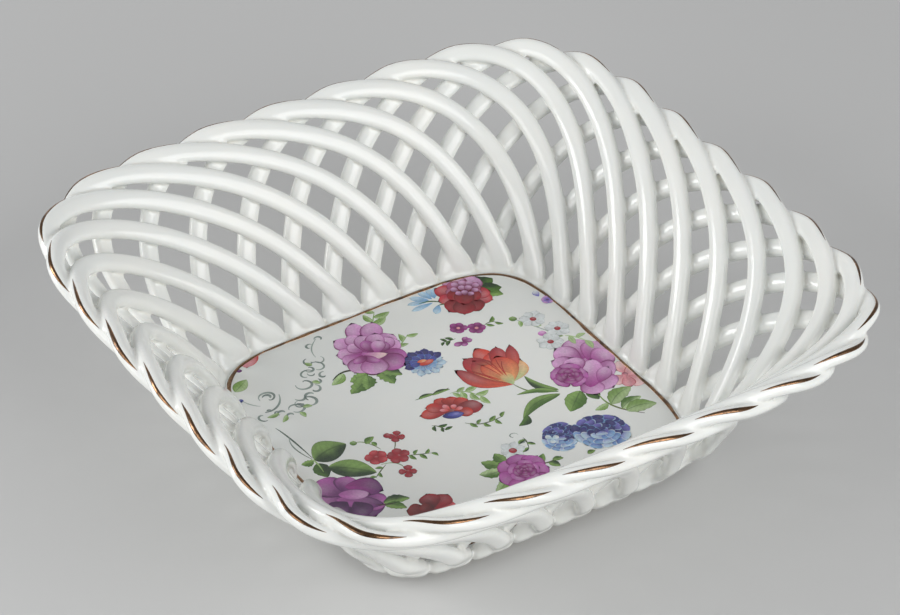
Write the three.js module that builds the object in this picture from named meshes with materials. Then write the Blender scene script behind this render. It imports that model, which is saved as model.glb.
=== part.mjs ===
// Square porcelain basket with rounded corners. Its openwork wall is made of thirty-two strands: each
// one rises from the floor plate's edge in the outer layer, loops over the rim and comes down to the
// edge in the inner layer, so that the legs cross in a lattice and the crests make a twisted rim.
// Millimetres, +Z up, the underside of the foot ring at zero.
import * as THREE from 'three';

// The wall: its rim, its foot round the floor plate, how far their rounded corners reach towards the
// corners of a square, and how far the wall hollows inward between the two
const rimHalfWidth = 104;
const rimCornerShare = 0.8706;
const wallFootHalfWidth = 64;
const wallFootCornerShare = 0.8816;
const wallHeight = 54.5;
const wallHollowShare = 0.45;

// The strands. A leg's reach is its share of a round of the basket, from the crest to the foot.
const sideCount = 4;
const strandsPerSide = 8;
const strandWidth = 5.8;
const strandThickness = 4;
const strandFootRise = 3;
const strandFootDepth = 2.8;
const layerClearance = 0.6;
const innerReachShare = 0.1297;
const outerReachShare = 0.1047;
const crestShiftShare = 0.00625;
const crestTurnShare = 0.0072;
const crestRoundingShare = 0.05;
const legStraightShare = 0.25;
const legCurvePower = 2.4;

// The floor plate and the foot ring under it
const plateThickness = 4.6;
const plateUndercut = 2.4;
const plateRounding = 0.8;
const footRingHalfWidth = 55;
const footRingHeight = 4;
const footRingWidth = 5;
const footRingTaper = 1.1;
const seatClearance = 0.3;

// Fineness of the faceted surfaces
const strandSides = 8;
const legSteps = 10;
const legStepPower = 1.3;
const outerFootSteps = 4;
const innerFootSteps = 2;
const outlinePoints = 48;
const arcDivisions = 1200;
const slopeStepShare = 0.002;
const searchStepShare = 0.0001;

// Sizes that follow from those above
const strandCount = sideCount * strandsPerSide;
const layerOffset = (strandThickness + layerClearance) / 2;
const plateUnderside = footRingHeight + seatClearance;
const floorTop = plateUnderside + plateThickness;
const strandFootLevel = floorTop - strandFootDepth;
const innerFootHalfWidth = wallFootHalfWidth - layerOffset - strandThickness / 2;
const plateHalfWidth = innerFootHalfWidth - seatClearance;

const glaze = { color: 0xebece6, roughness: 0.16, metalness: 0 };
const bareFoot = { color: 0xded8cb, roughness: 0.72, metalness: 0 };

// A square whose sides and corners run into one another, as a closed curve of even speed.
class RoundedSquare extends THREE.Curve {
  constructor(halfWidth, cornerShare) {
    super();
    this.halfWidth = halfWidth;
    this.squareness = -Math.LN2 / Math.log(cornerShare);
    this.arcLengthDivisions = arcDivisions;
  }

  getPoint(share, target = new THREE.Vector3()) {
    const angle = share * 2 * Math.PI;
    const across = Math.abs(Math.cos(angle)) ** this.squareness;
    const along = Math.abs(Math.sin(angle)) ** this.squareness;
    const radius = this.halfWidth / (across + along) ** (1 / this.squareness);
    return target.set(radius * Math.cos(angle), radius * Math.sin(angle), 0);
  }
}

const rimOutline = new RoundedSquare(rimHalfWidth, rimCornerShare);
const wallFootOutline = new RoundedSquare(wallFootHalfWidth, wallFootCornerShare);

// The middle surface of the wall. The turn counts whole rounds of the basket, from the middle of
// the +X side, and the height share runs from 0 at the floor to 1 at the rim.
function wallPoint(turn, heightShare) {
  const round = turn - Math.floor(turn);
  const spread = heightShare - wallHollowShare * heightShare * (1 - heightShare);
  const point = wallFootOutline.getPointAt(round).lerp(rimOutline.getPointAt(round), spread);
  return point.setZ(floorTop + wallHeight * heightShare);
}

function wallNormal(turn, heightShare) {
  const around = wallPoint(turn + slopeStepShare, heightShare)
    .sub(wallPoint(turn - slopeStepShare, heightShare));
  const upward = wallPoint(turn, heightShare + slopeStepShare)
    .sub(wallPoint(turn, heightShare - slopeStepShare));
  return around.cross(upward).normalize();
}

// The share of the wall's height that a leg has dropped, at a share of its way to the foot.
function legDrop(share) {
  const rounding = crestRoundingShare;
  const straight = (Math.hypot(share, rounding) - rounding) / (Math.hypot(1, rounding) - rounding);
  return legStraightShare * straight + (1 - legStraightShare) * share ** legCurvePower;
}

// The share of the way from the crest at which a leg reaches the start of its foot.
function footStartShare() {
  let low = 0;
  let high = 1;
  while (high - low > searchStepShare) {
    const middle = (low + high) / 2;
    if (wallHeight * (1 - legDrop(middle)) > strandFootRise) low = middle;
    else high = middle;
  }
  return high;
}

const footStart = footStartShare();

// A place on the centre line of one strand. Its travel runs from -1 at the floor's level in the outer
// layer over 0 at the crest to 1 at the floor's level in the inner layer, and on to -2 and 2 at the
// ends of the feet, which stand upright below that level. The outer foot draws in on its way down, to
// stand between two inner ones against the plate's edge.
function strandPlace(crestTurn, travel) {
  const share = Math.min(Math.abs(travel), 1);
  const depth = strandFootDepth * (Math.abs(travel) - share);
  const reach = share * (travel > 0 ? -innerReachShare : outerReachShare);
  const turn = crestTurn + reach;
  const heightShare = 1 - legDrop(share);
  const aboveFootEnd = wallHeight * heightShare - depth + strandFootDepth;
  const drawnIn = 1 - THREE.MathUtils.smoothstep(aboveFootEnd, 0, strandFootRise + strandFootDepth);
  const side = Math.tanh(reach / crestTurnShare);
  const layer = layerOffset * THREE.MathUtils.lerp(side, -1, drawnIn);
  const normal = wallNormal(turn, heightShare);
  const outward = new THREE.Vector3(normal.x, normal.y, 0).normalize();
  outward.lerp(normal, Math.min(heightShare / (1 - footStart), 1)).normalize();
  const point = wallPoint(turn, heightShare).addScaledVector(outward, layer);
  point.z -= depth;
  return { point, outward };
}

// The travel at a share of the height of a foot, counted from its upper end.
function footTravel(share) {
  const fall = share * (strandFootRise + strandFootDepth);
  if (fall < strandFootRise) return THREE.MathUtils.lerp(footStart, 1, fall / strandFootRise);
  return 1 + (fall - strandFootRise) / strandFootDepth;
}

// The travels of a strand's rings, from the end of the outer foot to the end of the inner one.
function strandTravels() {
  const travels = [];
  for (let step = -legSteps; step <= legSteps; step += 1) {
    travels.push(Math.sign(step) * footStart * Math.abs(step / legSteps) ** legStepPower);
  }
  for (let step = 1; step <= outerFootSteps; step += 1) {
    travels.unshift(-footTravel(step / outerFootSteps));
  }
  for (let step = 1; step <= innerFootSteps; step += 1) {
    travels.push(footTravel(step / innerFootSteps));
  }
  return travels;
}

// One oval ring of a strand, square to the centre line.
function strandRing(crestTurn, travel) {
  const { point, outward } = strandPlace(crestTurn, travel);
  const before = strandPlace(crestTurn, Math.max(travel - slopeStepShare, -2)).point;
  const tangent = strandPlace(crestTurn, Math.min(travel + slopeStepShare, 2)).point;
  tangent.sub(before).normalize();
  const thick = outward.addScaledVector(tangent, -outward.dot(tangent)).normalize();
  const wide = new THREE.Vector3().crossVectors(thick, tangent);
  const ring = [];
  for (let side = 0; side < strandSides; side += 1) {
    const angle = ((side + 0.5) / strandSides) * 2 * Math.PI;
    const corner = point.clone();
    corner.addScaledVector(wide, (strandWidth / 2) * Math.cos(angle));
    corner.addScaledVector(thick, (strandThickness / 2) * Math.sin(angle));
    ring.push(corner);
  }
  return ring;
}

// A closed skin over a row of rings, with a flat fan over each end, or end to end when it is looped.
function skin(rings, looped) {
  const perRing = rings[0].length;
  const spans = looped ? rings.length : rings.length - 1;
  const faces = [];
  for (let span = 0; span < spans; span += 1) {
    const here = span * perRing;
    const next = ((span + 1) % rings.length) * perRing;
    for (let side = 0; side < perRing; side += 1) {
      const beside = (side + 1) % perRing;
      faces.push(here + side, here + beside, next + beside);
      faces.push(here + side, next + beside, next + side);
    }
  }
  const lastRing = (rings.length - 1) * perRing;
  for (let side = 1; !looped && side < perRing - 1; side += 1) {
    faces.push(0, side + 1, side);
    faces.push(lastRing, lastRing + side, lastRing + side + 1);
  }
  const geometry = new THREE.BufferGeometry().setFromPoints(rings.flat());
  geometry.setIndex(faces);
  geometry.computeVertexNormals();
  return geometry;
}

function strandGeometry(crestTurn) {
  return skin(strandTravels().map((travel) => strandRing(crestTurn, travel)), false);
}

function outlineRing(halfWidth, level) {
  const outline = new RoundedSquare(halfWidth, wallFootCornerShare);
  const ring = outline.getSpacedPoints(outlinePoints).slice(0, outlinePoints);
  return ring.map((point) => point.setZ(level));
}

// The plate's edge is upright where the strands' feet stand against it and draws in below them.
function floorPlateGeometry() {
  const plateLevels = [
    [plateHalfWidth - plateUndercut, plateUnderside],
    [plateHalfWidth, strandFootLevel],
    [plateHalfWidth, floorTop - plateRounding],
    [plateHalfWidth - plateRounding, floorTop],
  ];
  return skin(plateLevels.map(([halfWidth, level]) => outlineRing(halfWidth, level)), false);
}

// The foot ring narrows downward, and its standing edge is a flat band.
function footRingGeometry() {
  const innerHalfWidth = footRingHalfWidth - footRingWidth;
  const section = [
    [footRingHalfWidth - footRingTaper, 0],
    [innerHalfWidth + footRingTaper, 0],
    [innerHalfWidth, footRingHeight],
    [footRingHalfWidth, footRingHeight],
  ];
  const outlines = section.map(([halfWidth]) => new RoundedSquare(halfWidth, wallFootCornerShare));
  const rings = [];
  for (let step = 0; step < outlinePoints; step += 1) {
    const share = step / outlinePoints;
    rings.push(outlines.map((outline, corner) => outline.getPointAt(share).setZ(section[corner][1])));
  }
  return skin(rings, true);
}

function finish(look) {
  return new THREE.MeshStandardMaterial(look);
}

function strandName(number) {
  return `strand_${String(number).padStart(2, '0')}`;
}

const basket = new THREE.Group();

function add(name, geometry, look) {
  const mesh = new THREE.Mesh(geometry, finish(look));
  mesh.name = name;
  basket.add(mesh);
  return mesh;
}

add('foot_ring', footRingGeometry(), bareFoot);
add('floor_plate', floorPlateGeometry(), glaze);

// The lattice repeats itself at each quarter turn, so one side's strands serve all four.
for (let place = 0; place < strandsPerSide; place += 1) {
  const crestTurn = (place + strandsPerSide / 2) / strandCount + crestShiftShare;
  const geometry = strandGeometry(crestTurn);
  for (let side = 0; side < sideCount; side += 1) {
    const strand = add(strandName(side * strandsPerSide + place + 1), geometry, glaze);
    strand.rotation.z = (side * 2 * Math.PI) / sideCount;
  }
}

export default basket;
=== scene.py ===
# Reticulated porcelain basket: the looks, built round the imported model. Metres, +Z up.
import math

import bmesh
import bpy
import numpy as np
from mathutils import Matrix, Vector
from mathutils.bvhtree import BVHTree


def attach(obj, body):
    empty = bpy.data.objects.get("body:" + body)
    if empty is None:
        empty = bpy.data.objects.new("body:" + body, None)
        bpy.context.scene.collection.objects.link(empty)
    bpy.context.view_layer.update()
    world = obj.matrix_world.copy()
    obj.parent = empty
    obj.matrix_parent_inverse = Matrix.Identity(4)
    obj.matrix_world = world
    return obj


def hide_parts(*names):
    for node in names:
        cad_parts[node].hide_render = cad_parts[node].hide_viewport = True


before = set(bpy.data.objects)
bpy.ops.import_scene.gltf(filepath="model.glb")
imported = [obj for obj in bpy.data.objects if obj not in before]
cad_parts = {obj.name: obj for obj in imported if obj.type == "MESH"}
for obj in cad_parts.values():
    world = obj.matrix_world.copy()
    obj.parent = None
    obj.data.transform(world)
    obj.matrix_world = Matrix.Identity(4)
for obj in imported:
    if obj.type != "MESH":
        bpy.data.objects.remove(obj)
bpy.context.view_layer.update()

MM = 0.001
TURN = 2 * math.pi
LEVEL_PART = np.array([1, 1, 0])
random_source = np.random.default_rng(7)

# The wall's middle surface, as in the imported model
RIM_HALF_WIDTH = 104 * MM
RIM_CORNER_SHARE = 0.8706
WALL_FOOT_HALF_WIDTH = 64 * MM
WALL_FOOT_CORNER_SHARE = 0.8816
WALL_HEIGHT = 54.5 * MM
WALL_HOLLOW_SHARE = 0.45
FLOOR_TOP = 8.9 * MM

# The strands' run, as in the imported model
SIDE_COUNT = 4
STRANDS_PER_SIDE = 8
STRAND_COUNT = SIDE_COUNT * STRANDS_PER_SIDE
LAYER_OFFSET = 2 * MM
DRAWN_IN_HEIGHT = 14 * MM
FOOT_SHIFT_SHARE = 0.0034
FOOT_SHIFT_POWER = 4
FOOT_DEPTH = 3.4 * MM
FOOT_START = 0.973
FOOT_TUCK = 2.7 * MM
FOOT_TUCK_POWER = 1.5
INNER_REACH_SHARE = 0.1297
OUTER_REACH_SHARE = 0.1047
CREST_SHIFT_SHARE = 0.00625
CREST_TURN_SHARE = 0.0125
CREST_ROUNDING_SHARE = 0.05
LEG_STRAIGHT_SHARE = 0.25
LEG_CURVE_POWER = 2.4
SLOPE_STEP = 0.002

# Where the fired wall differs from an even one: a side that bows inward, and a corner whose inner legs
# stand further in between two stretches of their travel
BOWED_SIDE_TURN = 0.75
BOWED_SIDE_REACH = 0.14
BOWED_SIDE_DEPTH = 3.1 * MM
BOW_HEIGHT_POWER = 0.68
WIDE_CORNER_TURN = 0.875
WIDE_CORNER_REACH = 0.1
WIDE_CORNER_DEPTH = 1.9 * MM
WIDE_CORNER_GROWS = (0, 0.12)
WIDE_CORNER_FADES = (0.2, 0.6)

# The strands' section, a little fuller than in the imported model, so that the strands touch where they
# cross, and the seeded unevenness of hand-rolled clay
STRAND_WIDTH = 6.3 * MM
STRAND_THICKNESS = 4.4 * MM
SECTION_POWER = 2.7
STRAND_SIDES = 20
STRAND_RINGS = 150
RING_SPACING_POWER = 1.15
FOOT_RINGS = 7
FOOT_FLARE_HEIGHT = 8 * MM
FOOT_WIDER_SHARE = 0.3
FOOT_THICKER_SHARE = 0.05
STEADY_HEIGHT_SHARE = 0.12
WAVER_RATES = (1.3, 2.9, 5.3)
SIDEWAYS_WAVER = 0.35 * MM
OUTWARD_WAVER = 0.12 * MM
WIDTH_WAVER = 0.14 * MM
THICKNESS_WAVER = 0.1 * MM

# The floor plate and the foot ring. A section's rows give how far it stands out in millimetres, a
# level, and the rise above that level in millimetres.
PLATE_HALF_WIDTH = 59.6 * MM
PLATE_UNDERSIDE = 4.3 * MM
PLATE_SECTION = (
    (-55.6, PLATE_UNDERSIDE, 0), (-29.6, PLATE_UNDERSIDE, 0), (-3.2, PLATE_UNDERSIDE, 0),
    (-2.2, PLATE_UNDERSIDE, 0.3), (-0.8, PLATE_UNDERSIDE, 1.5), (0, PLATE_UNDERSIDE, 3),
    (0, FLOOR_TOP, -0.6), (-0.18, FLOOR_TOP, -0.18), (-0.6, FLOOR_TOP, 0),
    (-6, FLOOR_TOP, 0), (-29.6, FLOOR_TOP, 0), (-55.6, FLOOR_TOP, 0),
)
SLIP_BAND_SECTION = (
    (-4, PLATE_UNDERSIDE, 1.6), (0.6, PLATE_UNDERSIDE, 1.2), (1.5, FLOOR_TOP, -1.8),
    (0.5, FLOOR_TOP, -0.5), (-4, FLOOR_TOP, -0.25),
)
FOOT_RING_HALF_WIDTH = 55 * MM
FOOT_RING_WIDTH = 5 * MM
FOOT_RING_TOP = 4.5 * MM
FOOT_RING_INNER_SECTION = (
    (1.6, 0, 0), (1.25, 0, 0.15), (1.1, 0, 0.5),
    (0.3, FOOT_RING_TOP, -1.2), (-0.6, FOOT_RING_TOP, -0.3), (-0.9, FOOT_RING_TOP, 0),
)
SLIP_BAND_STEPS = 256
PLATE_STEPS = 192

# The fused skin of the strands
VOXEL = 0.5 * MM
SMOOTHING_SHARE = 0.5
SMOOTHING_ROUNDS = 6
# How far the creases are filled: the glaze is darker there, partly as pooled glaze and partly as painted
# shade
POOLING_AND_SHADE_ROUNDS = 30
POOLING_AND_SHADE_DEPTH = 0.5 * MM

# The camera, fitted to the photograph
IMAGE_WIDTH = 900
FOCAL_PIXELS = 3354.3
SENSOR_WIDTH = 36
CAMERA_AZIMUTH = 1.0105
CAMERA_ELEVATION = 0.6412
CAMERA_DISTANCE = 1.1025
CAMERA_ROLL = -0.0095
CAMERA_TARGET = Vector((-45.2 * MM, 27.5 * MM, FLOOR_TOP))
NEAREST_SEEN = 0.01
FARTHEST_SEEN = 30

# The lamps: place across, towards and above the basket as the camera sees it, width, height and power
LAMP_TARGET = Vector((0, 0, 0.03))
LAMPS = {
    "key_lamp": ((0.85, 0.72, 0.6), 1.1, 1.1, 13),
    "fill_lamp": ((-1.0, 0.6, 0.55), 0.9, 0.9, 7.6),
    "side_lamp": ((-1.2, -0.2, 0.36), 0.34, 0.7, 6),
    "back_lamp": ((-0.2, -1.15, 0.5), 1.1, 1.1, 2.6),
}
STUDIO_HALF_WIDTH = 6
AIR_COLOUR = (0.95, 0.97, 1.0, 1)
AIR_STRENGTH = 0.255


# Outlines and the strands' run
def corner_power(corner_share):
    return -math.log(2) / math.log(corner_share)


class RoundedSquare:
    """A square with rounded corners, as a closed curve of even speed from the middle of the +X side."""

    def __init__(self, half_width, corner_share, divisions=4096):
        power = corner_power(corner_share)
        angle = np.linspace(0, TURN, divisions + 1)
        reach = half_width / (np.abs(np.cos(angle)) ** power + np.abs(np.sin(angle)) ** power) ** (1 / power)
        self.x = reach * np.cos(angle)
        self.y = reach * np.sin(angle)
        steps = np.hypot(np.diff(self.x), np.diff(self.y))
        self.share = np.concatenate([[0], np.cumsum(steps)]) / steps.sum()

    def at(self, turn):
        turn = np.asarray(turn, float) % 1
        return np.stack([np.interp(turn, self.share, self.x), np.interp(turn, self.share, self.y)], -1)


rim_outline = RoundedSquare(RIM_HALF_WIDTH, RIM_CORNER_SHARE)
wall_foot_outline = RoundedSquare(WALL_FOOT_HALF_WIDTH, WALL_FOOT_CORNER_SHARE)


def unit(vectors):
    return vectors / np.maximum(np.linalg.norm(vectors, axis=-1, keepdims=True), 1e-12)


def square_to(vectors, along):
    """The unit vectors' parts that stand square to the direction along."""
    return unit(vectors - along * (vectors * along).sum(-1, keepdims=True))


def smooth_step(value, low, high):
    share = np.clip((value - low) / (high - low), 0, 1)
    return share * share * (3 - 2 * share)


def nearness(turn, middle, reach):
    """1 at one place of the outline, falling to 0 within reach on either side."""
    away = np.minimum(np.abs((turn - middle + 0.5) % 1 - 0.5) / reach, 1)
    return np.cos(math.pi / 2 * away)


def wall_point(turn, height_share):
    spread = height_share - WALL_HOLLOW_SHARE * height_share * (1 - height_share)
    flat = wall_foot_outline.at(turn) * (1 - spread)[..., None] + rim_outline.at(turn) * spread[..., None]
    return np.concatenate([flat, (FLOOR_TOP + WALL_HEIGHT * height_share)[..., None]], -1)


def wall_normal(turn, height_share):
    around = wall_point(turn + SLOPE_STEP, height_share) - wall_point(turn - SLOPE_STEP, height_share)
    upward = wall_point(turn, height_share + SLOPE_STEP) - wall_point(turn, height_share - SLOPE_STEP)
    return unit(np.cross(around, upward))


def leg_drop(share):
    rounding = CREST_ROUNDING_SHARE
    straight = (np.hypot(share, rounding) - rounding) / (math.hypot(1, rounding) - rounding)
    return LEG_STRAIGHT_SHARE * straight + (1 - LEG_STRAIGHT_SHARE) * share ** LEG_CURVE_POWER


def strand_places(crest_turn, travel):
    """Centre points, outward directions and height shares along a strand.

    Travel goes from -2 at the end of the outer foot, over 0 at the crest, to 2 at the end of the inner one.
    """
    share = np.minimum(np.abs(travel), 1)
    depth = FOOT_DEPTH * (np.abs(travel) - share)
    reach = share * np.where(travel > 0, -INNER_REACH_SHARE, OUTER_REACH_SHARE)
    turn = crest_turn + reach - np.where(travel > 0, 0, FOOT_SHIFT_SHARE) * share ** FOOT_SHIFT_POWER
    height_share = 1 - leg_drop(share)
    above_end = WALL_HEIGHT * height_share - depth + FOOT_DEPTH
    drawn_in = 1 - smooth_step(above_end, 0, DRAWN_IN_HEIGHT)
    layer = LAYER_OFFSET * (np.tanh(reach / CREST_TURN_SHARE) * (1 - drawn_in) - drawn_in)
    normal = wall_normal(turn, height_share)
    level = unit(normal * LEVEL_PART)
    lean = np.minimum(height_share / (1 - FOOT_START), 1)[..., None]
    outward = unit(level * (1 - lean) + normal * lean)
    tuck = FOOT_TUCK * (depth / FOOT_DEPTH) ** FOOT_TUCK_POWER
    points = wall_point(turn, height_share) + outward * (layer - tuck)[..., None]
    points[..., 2] -= depth
    bow = BOWED_SIDE_DEPTH * nearness(turn, BOWED_SIDE_TURN, BOWED_SIDE_REACH)
    bow = bow * np.sin(math.pi * height_share ** BOW_HEIGHT_POWER)
    upper_leg = smooth_step(travel, *WIDE_CORNER_GROWS) * (1 - smooth_step(travel, *WIDE_CORNER_FADES))
    bow = bow + WIDE_CORNER_DEPTH * nearness(turn, WIDE_CORNER_TURN, WIDE_CORNER_REACH) * upper_leg
    return points - level * bow[..., None], outward, height_share


def crest_turn_of(number):
    side, place = divmod(number, STRANDS_PER_SIDE)
    return (place + STRANDS_PER_SIDE / 2) / STRAND_COUNT + CREST_SHIFT_SHARE + side / SIDE_COUNT


# Meshes
def placed(name, data):
    piece = bpy.data.objects.new(name, data)
    bpy.context.scene.collection.objects.link(piece)
    return piece


def new_object(name, vertices, faces, smooth=True):
    mesh = bpy.data.meshes.new(name)
    mesh.from_pydata([tuple(v) for v in vertices], [], [tuple(f) for f in faces])
    mesh.update()
    if smooth:
        mesh.shade_smooth()
    return placed(name, mesh)


def merged(parts):
    """Vertices and faces of several meshes as those of one."""
    vertices = []
    faces = []
    for points, part_faces in parts:
        first = len(vertices)
        vertices += list(points)
        faces += [tuple(first + i for i in face) for face in part_faces]
    return vertices, faces


def tube_faces(ring_count, per_ring, looped=False):
    """Faces between rings of points. A looped tube closes on itself, any other has end faces."""
    faces = []
    for span in range(ring_count if looped else ring_count - 1):
        here = span * per_ring
        there = (span + 1) % ring_count * per_ring
        for side in range(per_ring):
            beside = (side + 1) % per_ring
            faces.append((here + side, here + beside, there + beside, there + side))
    if not looped:
        last = (ring_count - 1) * per_ring
        faces.append(tuple(reversed(range(per_ring))))
        faces.append(tuple(last + side for side in range(per_ring)))
    return faces


def section_rings(half_width, section, steps):
    """Rings of a body of rounded-square sections, one for each row of its upright section."""
    turns = np.arange(steps) / steps
    rings = []
    for outset, level, rise in section:
        flat = RoundedSquare(half_width + outset * MM, WALL_FOOT_CORNER_SHARE).at(turns)
        rings.append(np.column_stack([flat, np.full(steps, level + rise * MM)]))
    return rings


def closed_band(rings):
    """Vertices and faces of a ring-shaped body, from the rings at its section's corners."""
    steps = len(rings[0])
    faces = [tuple(reversed(face)) for face in tube_faces(steps, len(rings), looped=True)]
    return np.stack(rings, 1).reshape(-1, 3), faces


def slab(top, bottom, row_count, column_count, looped=False):
    """Vertices and faces of a thin closed sheet between two grids of points."""
    size = len(top)
    last = column_count - 1
    faces = []
    for row in range(row_count if looped else row_count - 1):
        here = row * column_count
        there = (row + 1) % row_count * column_count
        for column in range(last):
            quad = (here + column, here + column + 1, there + column + 1, there + column)
            faces.append(quad)
            faces.append(tuple(size + i for i in reversed(quad)))
        faces.append((here, there, size + there, size + here))
        faces.append((there + last, here + last, size + here + last, size + there + last))
    if not looped:
        for row in (0, row_count - 1):
            start = row * column_count
            for column in range(last):
                edge = (start + column, size + start + column, size + start + column + 1, start + column + 1)
                faces.append(edge if row else tuple(reversed(edge)))
    return list(top) + list(bottom), faces


def face_outward(piece):
    editable = bmesh.new()
    editable.from_mesh(piece.data)
    bmesh.ops.recalc_face_normals(editable, faces=editable.faces)
    editable.to_mesh(piece.data)
    editable.free()
    return piece


def apply_modifiers(piece):
    depsgraph = bpy.context.evaluated_depsgraph_get()
    mesh = bpy.data.meshes.new_from_object(piece.evaluated_get(depsgraph))
    old = piece.data
    piece.modifiers.clear()
    piece.data = mesh
    bpy.data.meshes.remove(old)
    mesh.name = piece.name


def soften(piece, rounds):
    smooth = piece.modifiers.new("soften", "SMOOTH")
    smooth.factor = SMOOTHING_SHARE
    smooth.iterations = rounds
    apply_modifiers(piece)


def vertex_values(piece, name):
    flat = np.zeros(len(piece.data.vertices) * 3, np.float32)
    piece.data.vertices.foreach_get(name, flat)
    return flat.reshape(-1, 3).astype(float)


# Strands
def waviness(travel, amount, source):
    """A gentle seeded waviness along a hand-rolled strand."""
    total = np.zeros_like(travel)
    for rate in WAVER_RATES:
        total += source.uniform(0.3, 1) / rate * np.sin(rate * TURN * travel / 2 + source.uniform(0, TURN))
    return amount * total


def strand_rings(number, source):
    travel = np.linspace(-1, 1, STRAND_RINGS)
    travel = np.sign(travel) * np.abs(travel) ** RING_SPACING_POWER
    foot = np.linspace(1, 2, FOOT_RINGS + 1)[1:]
    travel = np.concatenate([-foot[::-1], travel, foot])
    crest = crest_turn_of(number)
    points, outward, height_share = strand_places(crest, travel)
    low, _, _ = strand_places(crest, np.maximum(travel - SLOPE_STEP, -2))
    high, _, _ = strand_places(crest, np.minimum(travel + SLOPE_STEP, 2))
    along = unit(high - low)
    thick = square_to(outward, along)
    wide = np.cross(thick, along)
    settled = smooth_step(height_share, 0, STEADY_HEIGHT_SHARE)
    points = points + wide * (waviness(travel, SIDEWAYS_WAVER, source) * settled)[:, None]
    points = points + thick * (waviness(travel, OUTWARD_WAVER, source) * settled)[:, None]
    flare = 1 - smooth_step(height_share * WALL_HEIGHT, 0, FOOT_FLARE_HEIGHT)
    half_wide = STRAND_WIDTH / 2 * (1 + FOOT_WIDER_SHARE * flare) + waviness(travel, WIDTH_WAVER, source)
    half_thick = STRAND_THICKNESS / 2 * (1 + FOOT_THICKER_SHARE * flare)
    half_thick = half_thick + waviness(travel, THICKNESS_WAVER, source)
    angles = (np.arange(STRAND_SIDES) + 0.5) / STRAND_SIDES * TURN
    rounding = 2 / SECTION_POWER
    across = np.sign(np.cos(angles)) * np.abs(np.cos(angles)) ** rounding
    up = np.sign(np.sin(angles)) * np.abs(np.sin(angles)) ** rounding
    rings = points[:, None] + wide[:, None] * (half_wide[:, None] * across)[..., None]
    return rings + thick[:, None] * (half_thick[:, None] * up)[..., None]


def strand_wall():
    """All strands as one skin, fused by slip and glaze where they touch and where they meet the plate."""
    parts = []
    for number in range(STRAND_COUNT):
        rings = strand_rings(number, random_source)
        parts.append((rings.reshape(-1, 3), tube_faces(len(rings), STRAND_SIDES)))
    parts.append(closed_band(section_rings(PLATE_HALF_WIDTH, SLIP_BAND_SECTION, SLIP_BAND_STEPS)))
    wall = new_object("strand_wall", *merged(parts))
    remesh = wall.modifiers.new("fuse", "REMESH")
    remesh.mode = "VOXEL"
    remesh.voxel_size = VOXEL
    remesh.use_smooth_shade = True
    apply_modifiers(wall)
    soften(wall, SMOOTHING_ROUNDS)
    store_pooling(wall)
    wall.data.shade_smooth()
    return wall


def store_pooling(wall):
    """Keep how far a well-softened copy fills each place: glaze gathers there when it is fired, and the
    glaze is tinted darker there as painted shade in the creases.
    """
    melted = placed("melted", wall.data.copy())
    soften(melted, POOLING_AND_SHADE_ROUNDS)
    moved = vertex_values(melted, "co") - vertex_values(wall, "co")
    filled = (moved * vertex_values(wall, "normal")).sum(1)
    bpy.data.objects.remove(melted)
    attribute = wall.data.attributes.new("pooling", "FLOAT", "POINT")
    attribute.data.foreach_set("value", np.clip(filled / POOLING_AND_SHADE_DEPTH, 0, 1).astype(np.float32))


# Floor plate and foot ring
def floor_plate():
    rings = section_rings(PLATE_HALF_WIDTH, PLATE_SECTION, PLATE_STEPS)
    return new_object("floor_plate_glazed", np.concatenate(rings), tube_faces(len(rings), PLATE_STEPS))


def foot_ring():
    outer_section = [(-inset, level, rise) for inset, level, rise in reversed(FOOT_RING_INNER_SECTION)]
    rings = section_rings(FOOT_RING_HALF_WIDTH - FOOT_RING_WIDTH, FOOT_RING_INNER_SECTION, PLATE_STEPS)
    rings += section_rings(FOOT_RING_HALF_WIDTH, outer_section, PLATE_STEPS)
    return new_object("foot_ring_bare", *closed_band(rings))


# Gilding: a brush stroke on each strand's crest and a line round the floor. A stroke's length and centre
# are shares of the strand's travel, and pairs are the least and the most. Widths and wavers are in
# millimetres, and a waver is given as size, number of waves and start.
STROKE_SEED = 100
STROKE_ROWS = 40
STROKE_COLUMNS = 6
STROKE_HALF_LENGTH = (0.105, 0.135)
STROKE_CENTRE = (-0.014, 0.014)
STROKE_HALF_WIDTH = (0.45, 0.68)
STROKE_POINT_POWER = 1.1
STROKE_POINT_WIDTH = 0.05 * MM
STROKE_LEAN = 0.35
STROKE_SHIFT = 1.0 * MM
STROKE_LIFT = 0.07 * MM
STROKE_EDGE_LIFT = 0.015 * MM
STROKE_DEPTH = 0.12 * MM
SEARCH_HEIGHT = 9 * MM
SEARCH_LENGTH = 14 * MM
CREST_HEIGHT = 2.7 * MM
LINE_ROWS = 720
LINE_COLUMNS = 5
LINE_REACH = 58.4 * MM
LINE_LIFT = 0.1 * MM
LINE_EDGE_LIFT = 0.05 * MM
LINE_DEPTH = 0.1 * MM
LINE_SEARCH = 3 * MM
LINE_HALF_WIDTH = 0.55
LINE_WAVER = ((0.1, 7, 0), (0.07, 17, 1), (0.05, 43, 0))
LINE_WIDTH_WAVER = ((0.12, 11, 2), (0.06, 37, 0))


def skin_finder(pieces):
    return BVHTree.FromPolygons(*merged(
        ([v.co.copy() for v in piece.data.vertices], [tuple(p.vertices) for p in piece.data.polygons])
        for piece in pieces))


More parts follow.
